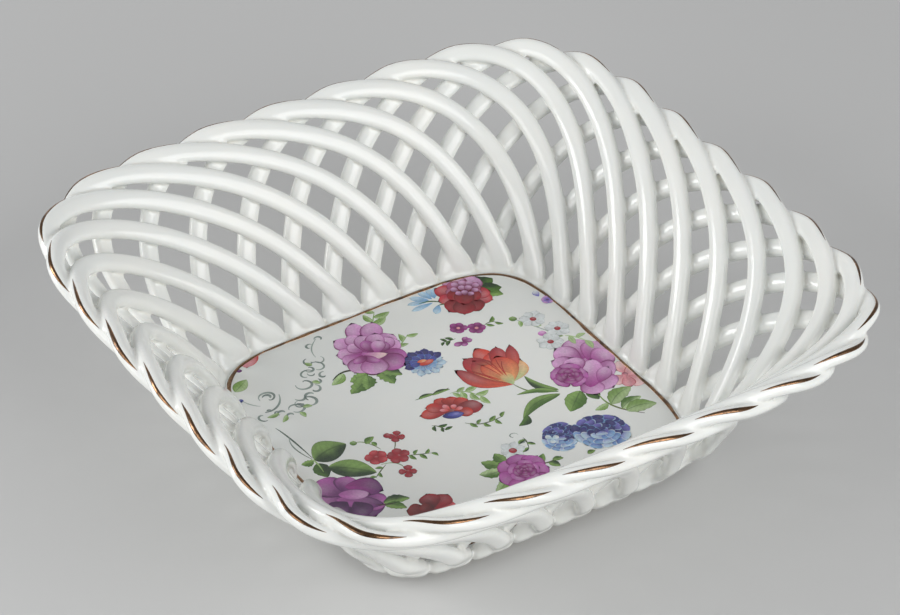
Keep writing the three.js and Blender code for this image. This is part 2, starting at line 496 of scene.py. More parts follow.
def gilt_stroke(number, skin):
    """The short brush stroke of gold on one strand's crest, wide in its middle and pointed at both ends."""
    source = np.random.default_rng(STROKE_SEED + number)
    half_length = source.uniform(*STROKE_HALF_LENGTH)
    centre = source.uniform(*STROKE_CENTRE)
    share = np.linspace(-1, 1, STROKE_ROWS)
    travel = centre + half_length * share
    points, _, _ = strand_places(crest_turn_of(number), travel)
    ahead, _, _ = strand_places(crest_turn_of(number), travel + SLOPE_STEP)
    along = unit(ahead - points)
    away = unit(points * LEVEL_PART)
    up = square_to(unit(np.array([0, 0, 1.0]) + STROKE_LEAN * away), along)
    beside = np.cross(up, along)
    half_width = source.uniform(*STROKE_HALF_WIDTH) * MM * (1 - share ** 2) ** STROKE_POINT_POWER
    half_width = half_width + STROKE_POINT_WIDTH
    top = []
    bottom = []
    for index in range(STROKE_ROWS):
        for step in np.linspace(-1, 1, STROKE_COLUMNS):
            start = points[index] + beside[index] * half_width[index] * step
            start = start + up[index] * SEARCH_HEIGHT + away[index] * STROKE_SHIFT
            place, normal, _, _ = skin.ray_cast(Vector(start), -Vector(up[index]), SEARCH_LENGTH)
            if place is None:
                place = Vector(points[index] + up[index] * CREST_HEIGHT)
                normal = Vector(up[index])
            lift = STROKE_LIFT * (1 - abs(step) ** 4) + STROKE_EDGE_LIFT
            top.append(place + normal * lift)
            bottom.append(place - normal * STROKE_DEPTH)
    return slab(top, bottom, STROKE_ROWS, STROKE_COLUMNS)


def gilt_strokes(skin):
    strokes = merged(gilt_stroke(number, skin) for number in range(STRAND_COUNT))
    return face_outward(new_object("gilt_strokes", *strokes))


def waves(turns, rows):
    return sum(size * np.sin(TURN * count * turns + start) for size, count, start in rows)


def gold_line(skin):
    """The brushed line of gold round the floor, at the strands' feet."""
    turns = np.arange(LINE_ROWS) / LINE_ROWS
    outline = RoundedSquare(LINE_REACH, WALL_FOOT_CORNER_SHARE)
    centre = outline.at(turns)
    along = unit(outline.at(turns + 0.001) - centre)
    outward = np.column_stack([along[:, 1], -along[:, 0]])
    waver = waves(turns, LINE_WAVER) * MM
    half = (LINE_HALF_WIDTH + waves(turns, LINE_WIDTH_WAVER)) * MM
    top = []
    bottom = []
    for index in range(LINE_ROWS):
        for step in np.linspace(-1, 1, LINE_COLUMNS):
            x, y = centre[index] + outward[index] * (waver[index] + half[index] * step)
            start = Vector((x, y, FLOOR_TOP + LINE_SEARCH))
            place = skin.ray_cast(start, Vector((0, 0, -1)), 2 * LINE_SEARCH)[0]
            level = FLOOR_TOP if place is None else place.z
            top.append((x, y, level + LINE_LIFT * (1 - abs(step) ** 4) + LINE_EDGE_LIFT))
            bottom.append((x, y, level - LINE_DEPTH))
    return face_outward(new_object("gold_line", *slab(top, bottom, LINE_ROWS, LINE_COLUMNS, looped=True)))


# Painted flowers. Each spray is drawn in millimetres across and away from the floor's middle, as seen
# from the photograph's side, out of thin closed sheets that lie a little above one another.
ACROSS = (0.531, 0.847)
AWAY = (-0.847, 0.531)
PAINT_START = 0.008 * MM
PAINT_LIFT = 0.003 * MM
PAINT_DEPTH = 0.03 * MM
PAINTED_HALF_WIDTH = 58.1 * MM
KEPT_BEYOND = 0.01
LEAST_HALF_WIDTH = 0.04
STEM_WIDTH = 0.4
PAINT_GAMMA = 2.2
PETAL_ROWS = (0, 0.05, 0.12, 0.22, 0.34, 0.46, 0.58, 0.70, 0.80, 0.88, 0.94, 0.975, 1)
PETAL_COLUMNS = (-1, -0.92, -0.76, -0.38, 0, 0.38, 0.76, 0.92, 1)
LEAF_ROWS = (0, 0.04, 0.12, 0.2, 0.28, 0.36, 0.44, 0.52, 0.6, 0.68, 0.76, 0.84, 0.91, 0.96, 1)
LEAF_COLUMNS = (-1, -0.88, -0.5, -0.12, 0, 0.12, 0.5, 0.88, 1)
RUFFLE_RATE = 5
STRIPE_RATE = 3.5
SIDE_SHADE = 0.14
GLOW_PLACE = 0.68
GLOW_LENGTH = 0.22
GLOW_WIDTH = 0.5
GLOW_WHITE = 0.42
EDGE_START = 0.72
TIP_START = 0.91
PETAL_TONES = (0.93, 1.05)
LEAF_TONES = (0.88, 1.08)
TEETH_RATE = 4.5
RIB_RATE = 6
RIB_SHADE = 0.14
MAIN_RIB_HALF_WIDTH = 0.12
RIM_START = 0.85

PAINTS = {
    "crimson": (0.62, 0.10, 0.16),
    "bright_crimson": (0.78, 0.20, 0.24),
    "deep_crimson": (0.36, 0.03, 0.09),
    "wine": (0.46, 0.10, 0.26),
    "dusky_rose": (0.68, 0.36, 0.50),
    "rose": (0.90, 0.58, 0.62),
    "pale_rose": (0.95, 0.80, 0.80),
    "mauve": (0.72, 0.37, 0.67),
    "pale_mauve": (0.86, 0.64, 0.83),
    "magenta": (0.62, 0.20, 0.54),
    "deep_magenta": (0.44, 0.06, 0.34),
    "plum": (0.40, 0.15, 0.42),
    "deep_plum": (0.26, 0.07, 0.28),
    "scarlet": (0.80, 0.20, 0.13),
    "vermilion": (0.86, 0.34, 0.22),
    "apricot": (0.93, 0.66, 0.42),
    "dark_red": (0.50, 0.07, 0.06),
    "navy": (0.15, 0.14, 0.42),
    "cobalt": (0.27, 0.31, 0.66),
    "sky": (0.48, 0.66, 0.83),
    "pale_sky": (0.72, 0.84, 0.90),
    "violet": (0.44, 0.42, 0.74),
    "leaf": (0.30, 0.45, 0.16),
    "light_leaf": (0.52, 0.66, 0.34),
    "pale_leaf": (0.71, 0.81, 0.58),
    "dark_leaf": (0.14, 0.25, 0.11),
    "stem": (0.38, 0.41, 0.26),
    "brown": (0.28, 0.15, 0.13),
    "grey": (0.62, 0.67, 0.64),
    "dark_grey": (0.38, 0.44, 0.42),
    "white": (0.86, 0.88, 0.88),
    "cream": (0.92, 0.88, 0.74),
}

# A petal's paints at its base, further out and round its edge
MAUVE = "magenta pale_mauve deep_magenta"
BRIGHT_MAUVE = "magenta mauve deep_magenta"
DARK_MAUVE = "deep_magenta mauve deep_magenta"
MAGENTA = "deep_magenta magenta deep_magenta"
PURPLE = "plum mauve deep_plum"
DEEP_PURPLE = "deep_plum plum deep_plum"
CRIMSON = "deep_crimson crimson deep_crimson"
BRIGHT_CRIMSON = "crimson bright_crimson deep_crimson"
EVEN_CRIMSON = "crimson crimson deep_crimson"
DARK_CRIMSON = "deep_crimson dark_red deep_crimson"
RED = "dark_red scarlet dark_red"
PINK = "rose pale_rose crimson"
PLAIN_WHITE = "white white grey"
NAVY = "navy cobalt navy"
GREEN_DOT = "leaf light_leaf dark_leaf"

# A leaf's paints on its light and its dark side
GREEN = "light_leaf leaf"
PALE_GREEN = "pale_leaf light_leaf"
DARK_GREEN = "leaf dark_leaf"
STRONG_GREEN = "light_leaf dark_leaf"


def colours(paints):
    """The colours of some paints in linear light."""
    return [np.array(PAINTS[name]) ** PAINT_GAMMA for name in paints.split()]


def heading(turn):
    return np.array([math.cos(turn), math.sin(turn)])


def bearing(points):
    """The angle of the way from the first of some points to the last."""
    (first_x, first_y), (last_x, last_y) = points[0], points[-1]
    return math.atan2(last_y - first_y, last_x - first_x)


def lie_of(base, tip):
    """Length, forward direction and sideways direction of a petal or leaf."""
    reach = np.array(tip, float) - np.array(base, float)
    length = np.linalg.norm(reach)
    forward = reach / length
    return length, forward, np.array([-forward[1], forward[0]])


def along_line(points, share):
    """The place on a line through some points, at a share of the way."""
    points = np.array(points, float)
    knots = np.linspace(0, 1, len(points))
    return np.array([np.interp(share, knots, points[:, 0]), np.interp(share, knots, points[:, 1])])


class Spray:
    """One painted spray: petals, leaves and stems, as thin closed sheets on the floor."""

    def __init__(self, name):
        self.name = name
        self.origin = (0, 0)
        self.source = np.random.default_rng(sum(ord(c) for c in name))
        self.vertices = []
        self.faces = []
        self.colours = []
        self.layer = 0

    def sheet(self, grid, shades):
        """A grid of points as a closed sheet. What would pass the gold line is drawn in to it."""
        rows, columns = grid.shape[:2]
        first = len(self.vertices)
        level = FLOOR_TOP + PAINT_START + PAINT_LIFT * self.layer
        self.layer += 1
        flat = grid.reshape(-1, 2) * MM
        x = flat[:, 0] * ACROSS[0] + flat[:, 1] * AWAY[0]
        y = flat[:, 0] * ACROSS[1] + flat[:, 1] * AWAY[1]
        power = corner_power(WALL_FOOT_CORNER_SHARE)
        reach = np.maximum((np.abs(x) ** power + np.abs(y) ** power) ** (1 / power), 0.001 * MM)
        kept = np.minimum(reach, PAINTED_HALF_WIDTH + KEPT_BEYOND * (reach - PAINTED_HALF_WIDTH)) / reach
        top = np.column_stack([x * kept, y * kept, np.full(len(x), level)])
        index = np.arange(rows * columns).reshape(rows, columns)
        border = np.concatenate([index[0, :-1], index[:-1, -1], index[-1, :0:-1], index[:0:-1, 0]])
        below = top[border].copy()
        below[:, 2] = FLOOR_TOP - PAINT_DEPTH
        quads = np.stack([index[:-1, :-1], index[:-1, 1:], index[1:, 1:], index[1:, :-1]], -1).reshape(-1, 4)
        self.faces += [tuple(first + q) for q in quads]
        under = first + len(top)
        count = len(border)
        for step in range(count):
            after = (step + 1) % count
            self.faces.append((first + border[after], first + border[step], under + step, under + after))
        self.faces.append(tuple(under + step for step in range(count)))
        self.vertices += list(top) + list(below)
        shades = np.clip(shades.reshape(-1, 3), 0, 1)
        self.colours += list(shades) + list(shades[border])

    def petal(self, base, tip, width, paints, bend=0, peak=0.62, blunt=0.55, ruffle=0.02, veins=0.12,
              line=0.8, shine=0.4):
        """A petal from its base to its tip: darker at the base, lighter further out, with a dark outline."""
        source = self.source
        length, forward, sideways = lie_of(base, tip)
        share = np.array(PETAL_ROWS)[:, None]
        side = np.array(PETAL_COLUMNS)[None, :]
        power = math.log(0.5) / math.log(peak)
        half = width / 2 * np.maximum(np.sin(math.pi * share ** power), 0) ** blunt + LEAST_HALF_WIDTH
        waver = ruffle * np.sin(side * RUFFLE_RATE + source.uniform(0, TURN)) * share ** 2
        along = length * (share + waver) * (1 - 0.05 * side ** 2 * share)
        offset = half * side + bend * length * np.sin(math.pi * share)
        grid = base + along[..., None] * forward + offset[..., None] * sideways
        inner, outer, edge = colours(paints)
        blend = np.broadcast_to(np.clip(share * 1.1, 0, 1) ** 1.3, grid.shape[:2])[..., None]
        shades = inner * (1 - blend) + outer * blend
        stripes = 0.5 + 0.5 * np.cos(side * math.pi * STRIPE_RATE + 1.2 * np.sin(share * 4))
        shades = shades * (1 - veins * stripes * (0.4 + 0.6 * (1 - share)))[..., None]
        lit = source.choice([-1, 1])
        shades = shades * (1 + SIDE_SHADE * side * lit)[..., None]
        from_glow = ((share - GLOW_PLACE) / GLOW_LENGTH) ** 2
        from_glow = from_glow + ((side - source.uniform(-0.4, 0.4)) / GLOW_WIDTH) ** 2
        glow = shine * np.exp(-from_glow)[..., None]
        shades = shades * (1 - glow) + (0.5 * outer + GLOW_WHITE) * glow
        border = np.maximum(np.clip((np.abs(side) - EDGE_START) / (1 - EDGE_START), 0, 1),
                            np.clip((share - TIP_START) / (1 - TIP_START), 0, 1))
        border = np.clip(line * border ** 2.1 * (1.15 - 0.25 * side * lit), 0, 1)[..., None]
        shades = shades * (1 - border) + edge * border
        self.sheet(grid, shades * source.uniform(*PETAL_TONES))

    def petals(self, paints, *pieces, **more):
        """Petals given as base, tip and width, measured from the spray's origin."""
        for *ends, width in pieces:
            base, tip = np.reshape(ends, (2, 2)) + self.origin
            self.petal(base, tip, width, paints, **more)

    def fan(self, paints, width, *directions, **more):
        """Petals that start at the spray's origin, given as angle and length."""
        for angle, length in directions:
            self.petals(paints, (0, 0, *(length * heading(math.radians(angle))), width), **more)

    def leaf(self, base, tip, width, paints, teeth=0, bend=0.1, rib="dark_leaf"):
        """A leaf with a dark rib, one half in the light and the other in shade."""
        length, forward, sideways = lie_of(base, tip)
        share = np.array(LEAF_ROWS)[:, None]
        side = np.array(LEAF_COLUMNS)[None, :]
        half = width / 2 * np.sin(math.pi * share ** 0.85) ** 0.8 + LEAST_HALF_WIDTH
        half = half * (1 + teeth * np.sin(share * TURN * TEETH_RATE + self.source.uniform(0, TURN)))
        middle = bend * length * np.sin(math.pi * share)
        grid = base + (share * length)[..., None] * forward + (half * side + middle)[..., None] * sideways
        lit = np.clip(0.5 - 1.1 * side + 0.25 * np.sin(share * 9), 0, 1)[..., None]
        light, dark = colours(paints)
        shades = light * lit + dark * (1 - lit)
        ribs = 0.5 + 0.5 * np.cos((share * RIB_RATE - np.abs(side) * 1.2) * TURN)
        shades = shades * (1 - RIB_SHADE * ribs)[..., None]
        main_rib = np.clip(1 - np.abs(side) / MAIN_RIB_HALF_WIDTH, 0, 1) * (1 - share * 0.6) * 0.75
        rim = np.clip((np.abs(side) - RIM_START) / (1 - RIM_START), 0, 1) * 0.5
        dark_line = np.maximum(main_rib, rim)[..., None]
        shades = shades * (1 - dark_line) + colours(rib)[0] * dark_line
        self.sheet(grid, shades * self.source.uniform(*LEAF_TONES))

    def leaves(self, paints, teeth, *pieces, **more):
        """Leaves given as base, tip and width."""
        for *ends, width in pieces:
            base, tip = np.reshape(ends, (2, 2))
            self.leaf(base, tip, width, paints, teeth, **more)

    def stroke(self, width, paints, *points, taper=0.3):
        """A brush line through some points, thinner at its ends."""
        points = np.array(points, float)
        knots = np.linspace(0, 1, len(points))
        share = np.linspace(0, 1, 8 * (len(points) - 1) + 1)
        curve = np.polynomial.polynomial.polyfit(knots, points, min(len(points) - 1, 4))
        line = np.polynomial.polynomial.polyval(share, curve).T
        along = unit(np.gradient(line, axis=0))
        across = np.column_stack([-along[:, 1], along[:, 0]])
        half = width / 2 * (taper + (1 - taper) * np.sin(math.pi * share))
        grid = line[:, None] + across[:, None] * (half[:, None] * np.array([-1, 0, 1]))[..., None]
        ends = colours(paints)
        shades = ends[0] * (1 - share[:, None]) + ends[-1] * share[:, None]
        self.sheet(grid, np.repeat(shades[:, None], 3, 1))

    def dot(self, centre, size, paints):
        x, y = centre
        self.petal((x, y - size / 2), (x, y + size / 2), size, paints, peak=0.5, blunt=0.5, veins=0,
                   line=0.6, ruffle=0)

    def ring(self, centre, count, length, width, paints, start=0, reach=0.1, **more):
        """Petals round a centre, each starting at a small share of its length from it."""
        centre = np.array(centre)
        for step in range(count):
            direction = heading(math.radians(start + 360 * step / count + self.source.uniform(-6, 6)))
            tip = centre + length * self.source.uniform(0.93, 1.07) * direction
            grown = width * self.source.uniform(0.92, 1.08)
            self.petal(centre + reach * length * direction, tip, grown, paints, **more)

    def floret(self, centre, size, paints, heart="cream cream brown", count=5):
        """A small flower of a few round petals."""
        self.ring(centre, count, size * 0.5, size * 0.44, paints, self.source.uniform(0, 360), line=0.7,
                  blunt=0.5, shine=0.16)
        self.dot(centre, size * 0.2, heart)

    def sprig(self, points, leaves, size, paints=GREEN, stem="stem dark_leaf"):
        """A thin stem with small leaves on alternate sides."""
        self.stroke(STEM_WIDTH, stem, *points)
        for step in range(leaves):
            place = along_line(points, (step + 0.7) / leaves)
            turn = bearing(points) + (0.9 if step % 2 else -0.9) + self.source.uniform(-0.25, 0.25)
            grown = size * self.source.uniform(0.75, 1.15)
            self.leaf(place, place + grown * heading(turn), grown * 0.45, paints,
                      bend=self.source.uniform(-0.15, 0.15))

    def rose_heart(self, centre, size, paints, light_paints):
        """The closed middle of a rose: petals that wrap round one another, smaller and smaller."""
        x, y = centre
        for share, count, start in ((1, 5, 20), (0.72, 5, 55), (0.48, 4, 10), (0.28, 3, 40)):
            self.ring((x, y + 0.06 * size * (1 - share)), count, size * share, size * share * 1.05,
                      light_paints if share == 1 else paints, start, 0.12, blunt=0.5, peak=0.66, line=0.85)
        self.dot((x, y + 0.05 * size), size * 0.2, paints)

    def scallop_head(self, centre, reach, size):
        """A round head of small petals that overlap like scales, dark blue above and light blue below."""
        for row in (3, 2, 1, 0):
            count = 4 + 4 * row
            for step in range(count):
                turn = TURN * (step + 0.5 * (row % 2)) / count + self.source.uniform(-0.14, 0.14)
                outer = (row + 1) / 4 * self.source.uniform(0.94, 1.03)
                tip = centre + reach * heading(turn) * outer
                base = centre + reach * heading(turn) * max(outer - 0.42, 0)
                usual = (step + row) % 3
                if math.sin(turn) * outer < -0.2:
                    paints = "cobalt sky white" if usual else "violet pale_sky white"
                    shine = 0.35
                else:
                    paints = "navy navy sky" if usual else "navy violet pale_sky"
                    shine = 0.1
                self.petal(base, tip, size * (0.75 + 0.25 * outer), paints, peak=0.68, blunt=0.5, line=0.9,
                           veins=0.1, shine=shine)

    def curl(self, centre, size, start, sweep, width=0.8, paints="grey dark_grey"):
        """A loose curl of line that changes its tone of grey."""
        turns = np.radians(start + sweep * np.linspace(0, 1, 5))
        shrink = np.linspace(1, self.source.uniform(0.25, 0.6), 5)
        points = [centre + size * share * heading(turn) for turn, share in zip(turns, shrink)]
        self.stroke(width, paints, *points, taper=0.25)

    def scroll(self, size, count, *points):
        """Loose curls that follow a line and turn to either side of it."""
        source = self.source
        angle = math.degrees(bearing(points))
        for step in range(count):
            share = (step + source.uniform(0.2, 0.8)) / count
            side = source.choice([-1, 1])
            grown = size * source.uniform(0.55, 1.3)
            away = grown * source.uniform(0.1, 0.9)
            centre = along_line(points, share) + away * heading(math.radians(angle + 90 * side))
            self.curl(centre, grown, angle + source.uniform(0, 360), -side * source.uniform(150, 300),
                      source.uniform(0.5, 1), source.choice(["grey dark_grey", "dark_grey grey"]))

    def object(self):
        piece = new_object(self.name, self.vertices, self.faces, smooth=False)
        layer = piece.data.color_attributes.new("paint", "FLOAT_COLOR", "POINT")
        shades = np.column_stack([np.array(self.colours), np.ones(len(self.colours))])
        layer.data.foreach_set("color", shades.astype(np.float32).ravel())
        return face_outward(piece)


# The sprays, each named after the function that draws it
def flower_crimson_rose(spray):
    spray.leaves(DARK_GREEN, 0.08, (7, 63, 13.5, 69, 8), (9, 62, 16.5, 64, 6))
    spray.leaves(GREEN, 0.08, (9, 61, 17, 60, 5))
    spray.origin = (4, 59.8)
    spray.petals("wine pale_mauve wine", (0, 1, 4, 10.4, 8), (-1, 1, -4.6, 10.6, 8.5))
    spray.petals("wine bright_crimson deep_crimson", (-1, 0, -10, 3.4, 7), (-1, -1, -8.6, -3.6, 6.5),
                 (1, 0, 9.6, -3, 6.5), (1, 0, 8.8, 2, 6.5))
    spray.petals(CRIMSON, (0, -1, -5, -9.6, 7.6), (0.5, -1, 5, -9, 7.6), (0, -1, 0, -11, 7.6), shine=0.08)
    spray.petals("wine dusky_rose deep_crimson", (0, 0, -4.6, 7.6, 6), (0, 0, 0.4, 8.4, 6),
                 (0, 0, 4.6, 6.8, 6), (-0.5, 1, -6.2, 2, 5), (0.5, 1, 6, 1.6, 5))
    spray.petals(CRIMSON, (0, 5, -4.4, -3.4, 6), (0, 5, 4.4, -3.4, 6), (0, 5, 0, -5.6, 6.8), veins=0.3,
                 shine=0.08)
    spray.petals("wine pale_mauve deep_crimson", (-1.6, 4, -4, 6.8, 2.6), (0.2, 4.4, -1.2, 8, 2.8),
                 (1.4, 4.4, 2, 7.8, 2.8), (2.6, 3.6, 4.6, 6.4, 2.6), (-1.8, 1.6, -4.4, 3.8, 2.4),
                 (0, 2, -1.4, 5.2, 2.6), (1.2, 2, 1.4, 5.4, 2.6), (2.4, 1.4, 4.4, 3.6, 2.4),
                 (-0.8, -0.4, -2.6, 1.8, 2.2), (0.4, -0.4, 0, 2.6, 2.4), (1.4, -0.6, 2.8, 1.6, 2.2),
                 veins=0.2)


def flower_blue_sprig(spray):
    spray.petals("sky pale_sky sky", (-5.6, 58, -8.4, 63.6, 2.6), (-6.6, 57.6, -11.4, 61.8, 2.6),
                 (-7.6, 57, -14.2, 58.2, 2.6), (-6, 58.2, -5.4, 64, 2.6), (-7.6, 56.6, -14.8, 54.4, 2.2),
                 (-6.4, 55.6, -13.4, 51, 2.2), (-4.4, 54.4, -5.4, 49.4, 2.6))
    spray.stroke(0.6, "dark_leaf leaf", (-3.6, 55.6), (-7, 56.4), (-11, 55))
    spray.stroke(0.6, "dark_leaf leaf", (-4.6, 54), (-3, 54.8), (-1.6, 54.6))


def flower_purple_blossoms(spray):
    spray.sprig([(10.2, 42.6), (12, 44.6), (14.4, 44.8)], 3, 3)
    spray.sprig([(1, 36), (-1.2, 34.8), (-3, 34.2)], 4, 2.8, DARK_GREEN)
    spray.floret((1.9, 41.6), 6.2, MAGENTA, "rose rose deep_magenta")
    spray.floret((7.9, 41.6), 6.4, MAGENTA, "rose rose deep_magenta")
    spray.petals(DARK_MAUVE, (3.4, 34.2, 0.6, 32, 2.2), (3.4, 34.2, 4.4, 32, 2.2),
                 (3.4, 34.2, 4.6, 36.8, 2.2), (3.4, 34.2, 6.4, 35.6, 2.2))


def flower_white_blossoms(spray):
    spray.sprig([(19.5, 46.6), (24, 44), (32, 39), (34, 36)], 4, 3, PALE_GREEN, "grey")
    spray.dot((19.8, 46.4), 2.6, GREEN_DOT)
    spray.dot((29.2, 38.4), 2.8, "mauve pale_mauve magenta")
    for place, size in (((26.4, 46.2), 9), ((34.2, 41), 8.6), ((31.8, 33.8), 9)):
        start = spray.source.uniform(0, 360)
        spray.ring(place, 7, size * 0.5, size * 0.36, PLAIN_WHITE, start, line=0.7, shine=0.5)
        spray.dot(place, size * 0.24, EVEN_CRIMSON)
    spray.sprig([(36.5, 37), (39.5, 36.4), (44, 34)], 3, 4.6, "pale_leaf pale_leaf", "pale_leaf")
    spray.floret((31.4, 56.6), 4.4, "violet pale_mauve violet", "plum plum plum")
    spray.petals("violet white violet", (28.6, 58.6, 27, 61.4, 2.2))


def flower_peony(spray):
    spray.sprig([(-26.4, 42), (-26, 46), (-25.6, 51)], 4, 6, PALE_GREEN, "light_leaf")
    spray.sprig([(-18.6, 30), (-16.4, 34), (-14.6, 38.5)], 3, 4.6, PALE_GREEN, "light_leaf")
    spray.stroke(0.8, "dark_leaf brown", (-38.4, 14.5), (-35.4, 18.6), (-31.5, 19.6), (-27.4, 17.8))
    spray.leaves(PALE_GREEN, 0, (-35, 18, -38.6, 12, 3.4))
    spray.leaves(GREEN, 0.15, (-27.6, 18.4, -32.8, 13.6, 5))
    spray.leaves(GREEN, 0.18, (-28.2, 17, -32.4, 7.4, 5.8), (-27.6, 17, -27.4, 9.6, 4.6),
                 (-24.2, 19, -18.6, 12.6, 5.2))
    spray.leaves(STRONG_GREEN, 0.18, (-23.4, 19.4, -16.2, 17.2, 4.4))
    spray.stroke(1.3, "brown", (-28.8, 19.4), (-25.6, 17.6), (-22.4, 19.4))
    spray.origin = (-26.8, 31)
    spray.petals(MAUVE, (-5.6, -2.6, 6.6, -2.2, 12), peak=0.5)
    spray.petals("mauve pale_mauve deep_magenta", (-2.8, 0.8, -6.2, 14, 6.6), (0, 1.7, 0.6, 14.4, 7.6),
                 (3.2, 2.5, 7.6, 7.6, 7), (-4, -0.8, -11.8, 4.4, 6.6))
    spray.petals(MAUVE, (3.3, 0, 9.6, 4.2, 8), (-2.3, -1.7, -10.8, -3.6, 6.6),
                 (-2.3, -3.4, -8.4, -8.2, 6.6), veins=0.2)
    spray.petals(DARK_MAUVE, (1.8, -2.6, 12.4, -4.4, 7.6), (1.6, -4, 11.6, -9, 9.4), veins=0.34)
    spray.petals(MAUVE, (0, -3.4, -4.8, -13, 8.6), (0.6, -3.4, 2.6, -13.8, 9.4), veins=0.3)
    spray.petals(MAUVE, (-1.3, 0, -7.6, 7, 6.4), (-1, -1, -7.6, 1.2, 5.6), (0, -2.4, -3.4, 7.2, 6.4),
                 (3, -2, 6.6, 6.2, 6), (1.4, -2, 1.6, 8.4, 6.6), veins=0.2)
    spray.petals(DARK_MAUVE, (1, -2.4, -2.2, 4.4, 4.6), (3.4, -2.4, 5.2, 3.6, 4.4))
    spray.petals(MAUVE, (2.4, -2.6, 2.8, 4.6, 5), shine=0.6)
    spray.petals("mauve pale_rose magenta", (-2.6, -3, 6, -2.8, 3.8), bend=-0.12, peak=0.5, blunt=0.7)
    spray.petals(DARK_MAUVE, (-2.8, -4.2, 3.6, -7.2, 3.4), (-1, -4, -5, -8, 3.4), peak=0.5)


def flower_aster(spray):
    spray.origin = (-9.2, 23.4)
    spray.fan("navy pale_sky cobalt", 2.9, (236, 6.6), (262, 7.4), (286, 6.4), (312, 7.2), (338, 6.6),
              (2, 7.4), (24, 6.6), veins=0.3, peak=0.74, shine=0.6)
    spray.fan("navy navy violet", 3.2, (46, 7.6), (68, 6.8), (90, 7.6), (112, 6.8), (134, 7.6), (158, 7),
              (182, 7.8), (208, 7), veins=0.3, peak=0.74, shine=0.1)
    spray.fan("navy sky white", 2.3, (232, 4.6), (266, 4.6), (300, 4.6), (334, 4.6), (4, 4.6), peak=0.7)
    spray.fan("navy cobalt sky", 2.6, (36, 4.9), (72, 4.9), (108, 4.9), (144, 4.9), (180, 4.9), (206, 4.9),
              veins=0.3, peak=0.7, shine=0.1)
    spray.petals("scarlet vermilion dark_red", (-1.4, -1.4, 3.2, 1.4, 2.4), peak=0.5)
    spray.petals("vermilion apricot dark_red", (-2.2, 0, 0.8, 1.4, 1.6), peak=0.5)


def flower_grey_curls(spray):
    spray.stroke(0.5, "grey", (-44.4, 36.8), (-45.4, 33.6), (-45.6, 30.4), (-44.2, 26.8))
    spray.curl((-43.6, 36.6), 1.4, 200, -230)
    spray.curl((-46.4, 32.4), 1.4, 60, 220)
    spray.scroll(2.6, 9, (-43.8, 26.4), (-45.4, 21.4), (-44.2, 15.6), (-45.6, 9.6))
    spray.scroll(2.5, 7, (-45.8, 8.6), (-47.4, 4.6), (-48.8, 0.6), (-51.6, -3.4))
    spray.scroll(1.8, 4, (-52.6, -1.4), (-57, -1), (-61.4, -3.4))
    spray.curl((-58.6, 6.2), 3.2, 215, -300)
    spray.curl((-58.8, 6), 1.8, 180, -200, 0.9, "dark_grey grey")
    spray.stroke(0.7, "grey dark_grey", (-55.4, 7.6), (-55, 3.6), (-56.4, 0.2), (-59.4, -1.6))
    spray.curl((-41.4, 17.4), 1.8, 90, 240)
    spray.leaves(PALE_GREEN, 0, (-55, -2, -58.6, -4.2, 1.6), (-52.6, -3, -53.6, -6.6, 1.6),
                 (-47.6, 1, -44.6, 1.6, 1.6), (-48.4, -1.6, -46.4, -4, 1.6), (-45, 14, -42.4, 13, 1.6),
                 (-45.2, 22.6, -47.6, 23.8, 1.6), rib="dark_grey")


def flower_scattered(spray):
    spray.petals("scarlet rose scarlet", (-65.4, 31.4, -66.4, 21.4, 6.4), peak=0.5, blunt=0.5)
    spray.dot((-68.6, 20), 1.8, "plum plum deep_plum")
    spray.leaves(PALE_GREEN, 0, (-69.4, 9, -66, 15.4, 4.6), bend=0)
    spray.dot((-67.4, 4.4), 1.8, NAVY)
    spray.stroke(0.4, "grey", (-67, 4.4), (-64, 2.4), (-61, 1.6))
    spray.sprig([(-43.4, 43.4), (-41, 44.6), (-38.6, 46.6)], 3, 3, "pale_sky sky", "grey")
    spray.dot((-39.4, 46.2), 2.6, "cobalt violet navy")
    spray.sprig([(5, -60), (9, -56), (15, -53.5)], 4, 3.6)
    spray.floret((4.4, -61), 6, MAGENTA)
    spray.floret((38.6, -41.6), 6, NAVY)
    spray.sprig([(33, -43), (29, -44.5), (25, -48)], 3, 3.6)
    spray.floret((-53.6, -33), 5.4, RED)
    spray.sprig([(-53, -30), (-52, -27), (-53.5, -23.6)], 2, 3.4)


